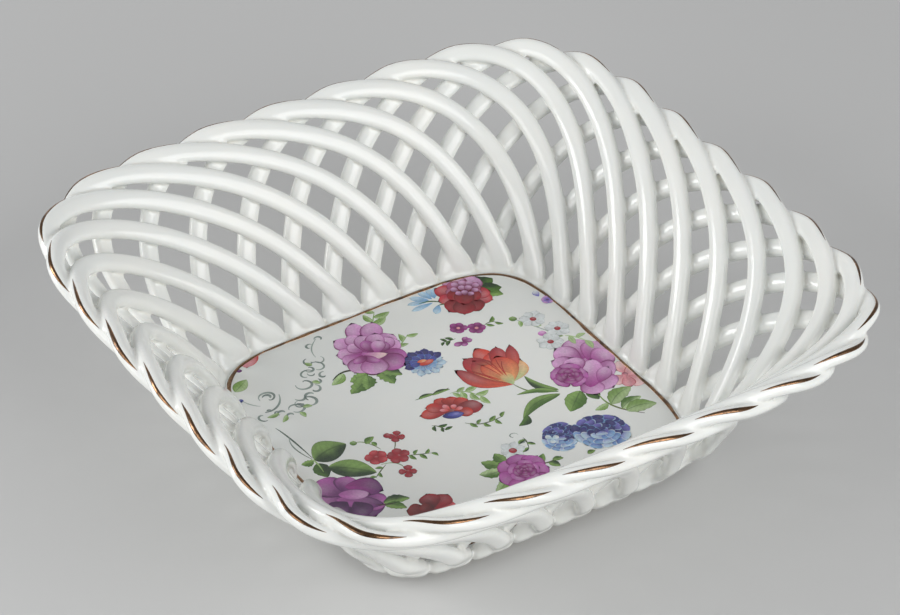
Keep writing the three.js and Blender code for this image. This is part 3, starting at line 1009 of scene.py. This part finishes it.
def flower_tulip(spray):
    spray.stroke(0.6, "stem light_leaf", (18.8, 12.2), (22.6, 9), (27.4, 7.4), (33.6, 8.2))
    spray.leaves(STRONG_GREEN, 0, (33.6, 8.6, 22.8, 15.9, 3.2), bend=0.14)
    spray.leaves(GREEN, 0, (33.6, 7.8, 20.2, 6.2, 2.2), bend=-0.1)
    spray.leaves(GREEN, 0, (34, 6.6, 22, -6.2, 4.4), bend=-0.14)
    spray.leaves(DARK_GREEN, 0, (23.4, -4.2, 20.6, -9.6, 3), bend=0.2)
    spray.origin = x, y = (18.8, 12.4)
    spray.petals("vermilion scarlet dark_red", (-4, 6, -11.6, 18.4, 7), shine=0.35)
    spray.petals("vermilion scarlet crimson", (-2, 4, -7.4, 15.6, 8), shine=0.3)
    spray.petals("scarlet crimson dark_red", (-3, 6, -4.9, 19.2, 5.8), shine=0.2)
    spray.petals("pale_leaf apricot vermilion", (0.4, 0.6, 2.6, 12.8, 5.6), bend=-0.1, veins=0.2)
    spray.petals("vermilion crimson dark_red", (-0.5, 3, -0.4, 20.2, 4.4), bend=-0.06, shine=0.15)
    spray.petals("scarlet crimson dark_red", (-2, 1, -15.6, 13, 8.6), shine=0.1)
    for paints, piece, bend in (("apricot crimson dark_red", (0, -0.4, -12.6, 11.8, 9), 0.02),
                                ("apricot scarlet dark_red", (0.2, 0, -4.8, 14.2, 8.4), -0.06),
                                ("apricot vermilion crimson", (0.2, -0.2, -9.8, 9.4, 6.4), 0)):
        spray.petals(paints, piece, bend=bend, veins=0.4, shine=0.06)
    spray.petals("vermilion crimson dark_red", (0.4, -0.8, -18.4, 6.8, 5.8), bend=0.14, veins=0.3, shine=0.3)
    spray.petals("pale_leaf apricot vermilion", (0.6, -0.8, -3, 5.6, 4.2), line=0.3, shine=0.1)
    for tip_x, tip_y, over_x, over_y in (
            (-11.6, 10.2, 0.4, 0.8), (-9.6, 11.6, 0.2, 1), (-7.6, 12, -0.4, 0.9), (-5, 12.6, -0.6, 0.6),
            (-3, 11.4, -0.9, 0.2), (-12.6, 6.4, 0.4, -0.4), (-14.8, 7.2, 0.6, -0.8)):
        spray.stroke(0.36, "scarlet dark_red",
                     *((x + share * tip_x + bow * over_x, y + share * tip_y + bow * over_y)
                       for share, bow in ((0.3, 0.6), (0.55, 1), (0.8, 0.8), (1, 0))))


def flower_anemone(spray):
    spray.stroke(0.7, "leaf brown", (-12, 4), (-7, 6.6), (-1.4, 10))
    spray.leaves(STRONG_GREEN, 0, (-11, 4.4, -6.2, 7.2, 1.6), (-6.6, 6.4, -1, 9.4, 1.8))
    spray.sprig([(-1, 7.2), (3.6, 8.2), (9.2, 5.4)], 7, 4.6, PALE_GREEN, "light_leaf")
    spray.sprig([(-6.8, -9), (-4.4, -9.6), (-2.2, -11.4)], 4, 2.8, DARK_GREEN)
    spray.sprig([(3.6, -7.8), (8.2, -8.4), (12, -7), (15.6, -4.6)], 6, 3)
    spray.origin = (-0.4, -0.8)
    spray.petals(RED, (-4.4, 0, 5, 0.4, 5), peak=0.5, shine=0.1)
    spray.petals(RED, (-0.5, 0.8, -5.6, 4.8, 5.4), (0, 0.8, -0.4, 6.4, 6.4), (0.4, 0.8, 5, 5.2, 5.6),
                 veins=0.2, shine=0.12)
    spray.petals("dark_red dark_red dark_red", (-4.6, -1, 4.6, -0.8, 3.4), peak=0.5)
    spray.petals("dark_red crimson dark_red", (0.6, 0.4, 10, 1.8, 6.6), veins=0.2)
    spray.petals("crimson scarlet dark_red", (-1, -0.4, -10.2, -3.6, 5.2), (-1, 0.4, -8.6, 0.6, 5),
                 veins=0.2, shine=0.3)
    spray.petals(RED, (0.6, -0.8, 7, -1.8, 4.6))
    spray.petals("scarlet rose dark_red", (-0.6, -0.4, -3, 2, 2), (0.4, -0.2, 0.6, 2.4, 2),
                 (-0.8, -0.8, -4, -0.6, 1.6), (0.8, -0.6, 3.4, 1, 1.8), shine=0.2)
    spray.petals(NAVY, (-3, -3.8, 4, -2.2, 3.4), peak=0.5, blunt=0.6)
    spray.petals("cobalt violet navy", (-1.4, -3.2, 2.6, -2, 1.8), peak=0.5)


def flower_crimson_blossoms(spray):
    spray.sprig([(-14.8, -23.6), (-11, -23.2), (-6.4, -22.4)], 5, 3.2)
    spray.sprig([(-21, -28), (-22.8, -31.5), (-24, -34.4)], 3, 3)
    spray.stroke(0.35, "stem", (-18.6, -15.5), (-18.2, -18), (-18.6, -21))
    spray.stroke(0.35, "light_leaf stem", (-31.2, -17.4), (-27.4, -17.2), (-22.6, -20.6))
    spray.stroke(0.35, "light_leaf stem", (-22.5, -28), (-17.8, -27.4), (-14.8, -30.4))
    spray.dot((-31.3, -17.4), 2.2, GREEN_DOT)
    spray.leaves(GREEN, 0, (-27.4, -17.8, -25, -14.2, 2.4), (-25.6, -17, -24, -18.8, 1.4))
    spray.floret((-24, -24.4), 7.6, BRIGHT_CRIMSON, EVEN_CRIMSON)
    spray.floret((-17.2, -23.8), 7.6, EVEN_CRIMSON, EVEN_CRIMSON)
    spray.floret((-18, -14.2), 5.6, EVEN_CRIMSON, EVEN_CRIMSON, 4)
    spray.dot((-20.8, -13.8), 2.4, EVEN_CRIMSON)
    spray.floret((-14.2, -31.4), 5.8, EVEN_CRIMSON, EVEN_CRIMSON, 4)


def flower_mauve_roses(spray):
    spray.leaves(GREEN, 0.05, (40.4, 8, 37, -2.6, 7), bend=0)
    spray.leaves(DARK_GREEN, 0, (43, 9, 46.2, 3.6, 4.4), bend=0)
    spray.stroke(0.7, "light_leaf brown", (46, 7), (48.6, 2), (53.4, -1.4), (60.4, -3.6))
    spray.leaves(PALE_GREEN, 0.08, (50, 1, 56.6, 10, 6))
    spray.leaves("pale_leaf leaf", 0.08, (53.4, -1.2, 59.6, 5, 4.4))
    spray.leaves(PALE_GREEN, 0.08, (54.6, -2.2, 64.4, 1.4, 6), (49, 1.4, 44.8, -2, 2.6))
    spray.origin = (55.2, 15.8)
    spray.petals(PINK, (0, 1, -2.2, 7.4, 5.4), (-0.6, 0, -5, -4.2, 5.6), (0.6, -0.6, 6.4, -4, 6.4),
                 (0, 0, 3.8, 3.8, 5.4), veins=0.3)
    spray.petals("rose rose crimson", (0, 0, 1.6, -6, 4.6), veins=0.3)
    spray.dot((55, 16.4), 2, "rose wine wine")
    spray.origin = (0, 0)
    spray.petals("magenta mauve magenta", (43.6, 8, 43.6, 33, 13), peak=0.5)
    spray.petals(MAUVE, (42, 24.3, 38.6, 35.4, 9.8), (43.7, 23.6, 47.6, 34.2, 9.8),
                 (44.6, 22.6, 51.2, 28.6, 9.4), (41.5, 22.6, 33, 30.2, 8.8), veins=0.18, shine=0.5)
    spray.petals(MAUVE, (45, 19.6, 52.6, 18.4, 10.4), (45, 17.4, 51, 9.2, 9.8),
                 (42.8, 14.8, 45.6, 5.8, 8), (41.5, 20.6, 31.6, 23.4, 7.4), veins=0.18, shine=0.25)
    spray.petals(MAUVE, (43.8, 9.6, 44.8, 24.8, 8.6), shine=0.6, peak=0.55, line=0.85)
    spray.petals(MAUVE, (40.4, 17.6, 38, 25.4, 7.6), (46.6, 12, 49.8, 20.4, 5))
    spray.rose_heart((37.4, 15.6), 6.4, MAGENTA, BRIGHT_MAUVE)


def flower_blue_heads(spray):
    spray.scallop_head((33.4, -15.2), (6, 7.4), 4.2)
    spray.origin = (30.8, -16.4)
    spray.petals("pale_sky white sky", (0, 0, -2.2, 1.6, 2), (0, 0, 2, 1.6, 2), (0, 0, 0.2, -2.2, 2.2))
    spray.scallop_head((46.2, -12.8), (9.6, 8.6), 4.6)


def flower_magenta_rose(spray):
    spray.curl((18.6, -14.6), 1.7, 20, 260, 0.4)
    spray.curl((21.4, -16.8), 1.5, 200, 250, 0.4)
    spray.sprig([(21.6, -15.4), (22.8, -17.4), (23.4, -21)], 3, 2.8, STRONG_GREEN)
    spray.leaves(GREEN, 0.12, (16, -29, 8.4, -27.4, 5))
    spray.leaves("pale_leaf leaf", 0.12, (15, -31, 7.8, -33.4, 4.4))
    spray.leaves(PALE_GREEN, 0.1, (16, -35.5, 12.8, -42, 3.6))
    spray.leaves(GREEN, 0.1, (16, -27, 12.6, -23.2, 4))
    spray.stroke(1, "brown dark_leaf", (15.6, -36.4), (14.6, -32.6), (16.4, -29.4))
    spray.ring((18.4, -21.6), 6, 4.2, 3.2, PLAIN_WHITE, 20)
    spray.dot((18.4, -21.8), 2.6, EVEN_CRIMSON)
    spray.stroke(0.6, "brown leaf", (27, -28.4), (30.6, -27), (33.2, -24.6))
    spray.leaves(STRONG_GREEN, 0, (29.4, -27.8, 33, -29.4, 2.6))
    spray.leaves(GREEN, 0, (27.6, -27.6, 27.8, -23.4, 2.2), (30.6, -26.4, 34, -25.6, 2))
    spray.petals(NAVY, (32, -31.8, 35.4, -29.6, 1.4), (36, -30.2, 39, -27.6, 1.4))
    spray.leaves(GREEN, 0, (41.6, -23.6, 44, -22, 1.8))
    spray.origin = (21.4, -32.4)
    spray.petals(BRIGHT_MAUVE, (-1, 0, -7.6, 4.4, 7.4), (0, 1, -2, 8.8, 8.4), (1, 1, 4.6, 8, 8),
                 (1, 0, 8.2, 2.2, 7.6), (-1, -1, -7.4, -4.4, 7.4), (1, -1, 7, -5.4, 8),
                 (0, -1, -0.6, -9.2, 8.6), veins=0.2, shine=0.25)
    spray.rose_heart((21.8, -31.8), 5.4, MAGENTA, BRIGHT_MAUVE)


def flower_purple_and_leaves(spray):
    spray.stroke(0.6, "dark_grey dark_leaf", (-55.8, -9.6), (-50.6, -15.4), (-43.8, -24.6))
    spray.stroke(0.45, "grey dark_leaf", (-51.4, -14.2), (-49.6, -19.6), (-44, -25))
    spray.leaves(GREEN, 0.15, (-43.4, -26, -47.2, -27.8, 3))
    spray.leaves(DARK_GREEN, 0.05, (-42.4, -27.2, -38.8, -33.8, 5.4), bend=0)
    spray.leaves("dark_leaf light_leaf", 0, (-43.2, -25.6, -33.6, -17.6, 10.4))
    spray.leaves("dark_leaf light_leaf", 0, (-38.8, -28.8, -23.8, -31.8, 8.4), bend=0.04)
    spray.stroke(0.6, "pale_leaf light_leaf", (-44.4, -25), (-42.4, -27), (-40.2, -31.4))
    spray.origin = (-30.6, -42.8)
    spray.petals(PURPLE, (-5, -2, 5.4, -2.4, 10), peak=0.5, shine=0.1)
    spray.petals(DEEP_PURPLE, (-1, -1, -4, -11.4, 12.4), (0.5, -1, 6.4, -10.6, 12), veins=0.3, line=0.9,
                 shine=0.15)
    spray.petals(PURPLE, (-1, -0.5, -11.4, -5, 10.4), (1, -1, 10.2, -4.6, 9), veins=0.34, line=0.9,
                 shine=0.25)
    spray.petals(PURPLE, (-1.4, 0.4, -12.2, 6.6, 10), veins=0.3, line=1, shine=0.3)
    spray.petals(PURPLE, (-3.6, 1.6, -2.2, 9.4, 7.6), veins=0.3, line=1, shine=0.2)
    spray.petals("magenta plum deep_plum", (-3, 4.4, 9, 2.4, 8.4), veins=0.3, line=1, peak=0.58, bend=0.1,
                 shine=0.2)
    spray.petals("mauve plum deep_plum", (-5.4, -2, 9.4, -4.4, 6), veins=0.35, line=1, peak=0.5, shine=0.15)
    spray.petals(DEEP_PURPLE, (0, -3, 4.6, -9.4, 7), (-2, -3, -6.4, -8, 7.4), veins=0.3, line=0.9, shine=0.2)
    spray.petals("mauve pale_mauve plum", (-4.8, 0.4, 5, 0.6, 5), peak=0.5, line=0.9, shine=0.3)
    spray.leaves(STRONG_GREEN, 0.1, (-21.6, -46.4, -13.6, -44.2, 4))
    spray.leaves(GREEN, 0.1, (-21, -47.4, -14.4, -48.8, 3.4))
    spray.stroke(0.6, "brown dark_leaf", (-24, -47.4), (-20, -47), (-17, -46))


def flower_dark_red(spray):
    spray.origin = (-6.2, -49.6)
    spray.petals(CRIMSON, (-3.4, -0.4, 3.6, 0.2, 6), peak=0.5, shine=0.1)
    spray.petals(CRIMSON, (-0.4, -0.6, -6, -6.4, 7), (0.4, -0.8, 1.4, -7.6, 7.4),
                 (0.6, -0.6, 6.6, -5.2, 6.8), veins=0.3, shine=0.12)
    spray.petals(DARK_CRIMSON, (-1.6, -0.6, -8.4, -0.8, 6.8), shine=0.06)
    spray.petals(BRIGHT_CRIMSON, (0.6, 0, 7.2, 1.6, 6.4), shine=0.2)
    spray.petals(EVEN_CRIMSON, (0.4, 0.8, 4.4, 7, 6.2), veins=0.3, shine=0.16)
    spray.petals(CRIMSON, (0, 0.6, -2.2, 7.4, 6.8), veins=0.3, shine=0.16)
    spray.petals(DARK_CRIMSON, (0, 0, -4.4, 1.6, 4.4), (0, 0, 2.8, -2.8, 3.6), shine=0.06)


SPRAYS = (
    flower_crimson_rose, flower_blue_sprig, flower_purple_blossoms, flower_white_blossoms,
    flower_peony, flower_aster, flower_grey_curls, flower_scattered,
    flower_tulip, flower_anemone, flower_crimson_blossoms,
    flower_mauve_roses, flower_blue_heads, flower_magenta_rose,
    flower_purple_and_leaves, flower_dark_red,
)


def painted_spray(draw):
    spray = Spray(draw.__name__)
    draw(spray)
    return spray.object()


# Materials
GLAZE_CLOUD = (0.80, 0.815, 0.79)
GLAZE_WHITE = (0.83, 0.835, 0.80)
# Darker cream glaze in the creases: partly pooled glaze, partly painted shade
GLAZE_POOLED_AND_SHADED = (0.74, 0.70, 0.60)
BARE_CLAY = (0.74, 0.70, 0.62)
BARE_STAIN = (0.60, 0.55, 0.47)
# Gold darkened to stand for a painted reflection of dark surroundings; its near-black patches are the same
# painted dark reflection, mixed with wear
GOLD_WITH_DARK_REFLECTION = (0.30, 0.155, 0.068)
GOLD_DARK_REFLECTION_AND_WEAR = (0.06, 0.03, 0.014)
FLOOR_TONES = ((0.55, 0.55, 0.545), (0.57, 0.57, 0.565))
GLAZE_IOR = 1.5


class Finish:
    """A material in the making: nodes for its looks, and a main shader that they feed."""

    def __init__(self, name):
        self.material = bpy.data.materials.new(name)
        self.material.use_nodes = True
        self.nodes = self.material.node_tree.nodes

    def fill(self, socket, value):
        """Feed a socket with another node's output, a colour or a number."""
        if isinstance(value, bpy.types.NodeSocket):
            self.material.node_tree.links.new(value, socket)
        elif socket.type == "RGBA":
            socket.default_value = (*value, 1)
        else:
            socket.default_value = value

    def node(self, kind, values, output=0):
        node = self.nodes.new(kind)
        for name, value in values.items():
            self.fill(node.inputs[name], value)
        return node.outputs[output]

    def noise(self, scale, detail, roughness=0.5):
        place = self.nodes.new("ShaderNodeTexCoord").outputs["Object"]
        return self.node("ShaderNodeTexNoise", {"Scale": scale, "Detail": detail, "Roughness": roughness,
                                                "Vector": place})

    def spread(self, value, low, high, to_low=0, to_high=1):
        """A value's range from low to high, spread over another range."""
        return self.node("ShaderNodeMapRange", {0: value, 1: low, 2: high, 3: to_low, 4: to_high})

    def bump(self, height, distance, strength):
        return self.node("ShaderNodeBump", {"Strength": strength, "Distance": distance, "Height": height})

    def attribute(self, name, output):
        node = self.nodes.new("ShaderNodeAttribute")
        node.attribute_name = name
        return node.outputs[output]

    def mix(self, share, first, second, blend_type="MIX"):
        """Two colours mixed. A colour mix has its share at socket 0, and its colours at 6 and 7."""
        node = self.nodes.new("ShaderNodeMix")
        node.data_type = "RGBA"
        node.blend_type = blend_type
        for index, value in ((0, share), (6, first), (7, second)):
            self.fill(node.inputs[index], value)
        return node.outputs[2]

    def shaded(self, values):
        for name, value in values.items():
            self.fill(self.nodes["Principled BSDF"].inputs[name], value)
        return self.material


def glaze_material():
    finish = Finish("porcelain_glaze")
    cloud = finish.spread(finish.noise(28, 2), 0.35, 0.65)
    # The creases take the darker cream colour, as pooled glaze and as painted shade
    pooled_and_shaded = finish.spread(finish.attribute("pooling", "Fac"), 0.15, 1, 0, 0.75)
    return finish.shaded({
        "Base Color": finish.mix(pooled_and_shaded, finish.mix(cloud, GLAZE_CLOUD, GLAZE_WHITE), GLAZE_POOLED_AND_SHADED),
        "Normal": finish.bump(finish.noise(190, 2), 0.12 * MM, 0.35),
        "Roughness": finish.spread(finish.noise(60, 3), 0.3, 0.7, 0.1, 0.2),
        "IOR": GLAZE_IOR,
        "Subsurface Weight": 0.12,
        "Subsurface Radius": (1, 0.85, 0.7),
        "Subsurface Scale": 1.2 * MM,
    })


def bare_material():
    finish = Finish("bare_porcelain")
    grain = finish.noise(900, 4, 0.6)
    stain = finish.spread(finish.noise(40, 3), 0.4, 0.7)
    return finish.shaded({
        "Base Color": finish.mix(stain, BARE_CLAY, BARE_STAIN),
        "Normal": finish.bump(grain, 0.08 * MM, 0.6),
        "Roughness": finish.spread(grain, 0.3, 0.7, 0.6, 0.8),
    })


def gold_material():
    finish = Finish("burnished_gold")
    # Random patches of near-black gold: painted dark reflection, partly wear
    wear_and_dark_reflection = finish.spread(finish.noise(420, 4, 0.6), 0.4, 0.68)
    return finish.shaded({
        "Base Color": finish.mix(wear_and_dark_reflection, GOLD_WITH_DARK_REFLECTION, GOLD_DARK_REFLECTION_AND_WEAR),
        "Metallic": 1,
        "Coat Weight": 0.6,
        "Coat Roughness": 0.22,
        "Roughness": finish.spread(wear_and_dark_reflection, 0, 1, 0.18, 0.38),
        "Normal": finish.bump(finish.noise(700, 2), 0.03 * MM, 0.4),
    })


def paint_material():
    finish = Finish("enamel_paint")
    brushwork = finish.spread(finish.noise(1500, 3, 0.6), 0.3, 0.7, 0.86, 1.1)
    return finish.shaded({
        "Base Color": finish.mix(1, finish.attribute("paint", "Color"), brushwork, "MULTIPLY"),
        "Roughness": 0.24,
        "IOR": GLAZE_IOR,
    })


def floor_material():
    finish = Finish("pale_floor")
    tone = finish.spread(finish.noise(3, 2), 0.3, 0.7)
    return finish.shaded({"Base Color": finish.mix(tone, *FLOOR_TONES), "Roughness": 0.9})


def finished(piece, material):
    piece.data.materials.clear()
    piece.data.materials.append(material)
    return piece


# Studio
def studio():
    reach = STUDIO_HALF_WIDTH
    corners = [(-reach, -reach, 0), (reach, -reach, 0), (reach, reach, 0), (-reach, reach, 0)]
    finished(new_object("studio_floor", corners, [(0, 1, 2, 3)]), floor_material())
    world = bpy.data.worlds.new("studio_air")
    world.use_nodes = True
    colour, strength = world.node_tree.nodes["Background"].inputs[:2]
    colour.default_value = AIR_COLOUR
    strength.default_value = AIR_STRENGTH
    bpy.context.scene.world = world


def camera():
    """Set up the camera. Returns its directions to the right and back, away from what it sees."""
    azimuth, elevation = CAMERA_AZIMUTH, CAMERA_ELEVATION
    back = Vector((math.sin(azimuth) * math.cos(elevation), -math.cos(azimuth) * math.cos(elevation),
                   math.sin(elevation)))
    right = Vector((0, 0, 1)).cross(back).normalized()
    up = back.cross(right)
    rolled_right = right * math.cos(CAMERA_ROLL) + up * math.sin(CAMERA_ROLL)
    rolled_up = up * math.cos(CAMERA_ROLL) - right * math.sin(CAMERA_ROLL)
    data = bpy.data.cameras.new("camera")
    data.sensor_width = SENSOR_WIDTH
    data.sensor_fit = "HORIZONTAL"
    data.lens = FOCAL_PIXELS / IMAGE_WIDTH * SENSOR_WIDTH
    data.clip_start = NEAREST_SEEN
    data.clip_end = FARTHEST_SEEN
    holder = placed("camera", data)
    turn = Matrix((rolled_right, rolled_up, back)).transposed().to_4x4()
    holder.matrix_world = Matrix.Translation(CAMERA_TARGET + back * CAMERA_DISTANCE) @ turn
    bpy.context.scene.camera = holder
    return right, back


def soft_lamps(right, back):
    toward = Vector((back.x, back.y, 0)).normalized()
    for name, (place, width, height, power) in LAMPS.items():
        lamp = bpy.data.lights.new(name, "AREA")
        lamp.shape = "RECTANGLE"
        lamp.size = width
        lamp.size_y = height
        lamp.energy = power
        holder = placed(name, lamp)
        holder.location = right * place[0] + toward * place[1] + Vector((0, 0, place[2]))
        holder.rotation_euler = (LAMP_TARGET - holder.location).to_track_quat("-Z", "Y").to_euler()


soft_lamps(*camera())
studio()
bpy.context.scene.view_settings.view_transform = "Standard"

glaze = glaze_material()
gold = gold_material()
enamel = paint_material()

wall = finished(strand_wall(), glaze)
plate = finished(floor_plate(), glaze)
ring = finished(foot_ring(), bare_material())
skin = skin_finder([wall, plate])
strokes = finished(gilt_strokes(skin), gold)
line = finished(gold_line(skin), gold)
flowers = [finished(painted_spray(draw), enamel) for draw in SPRAYS]

strand_nodes = [f"strand_{number + 1:02d}" for number in range(STRAND_COUNT)]
for piece in (wall, plate, ring, strokes, line, *flowers):
    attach(piece, "root")
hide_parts(*strand_nodes)
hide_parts("floor_plate")
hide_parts("foot_ring")
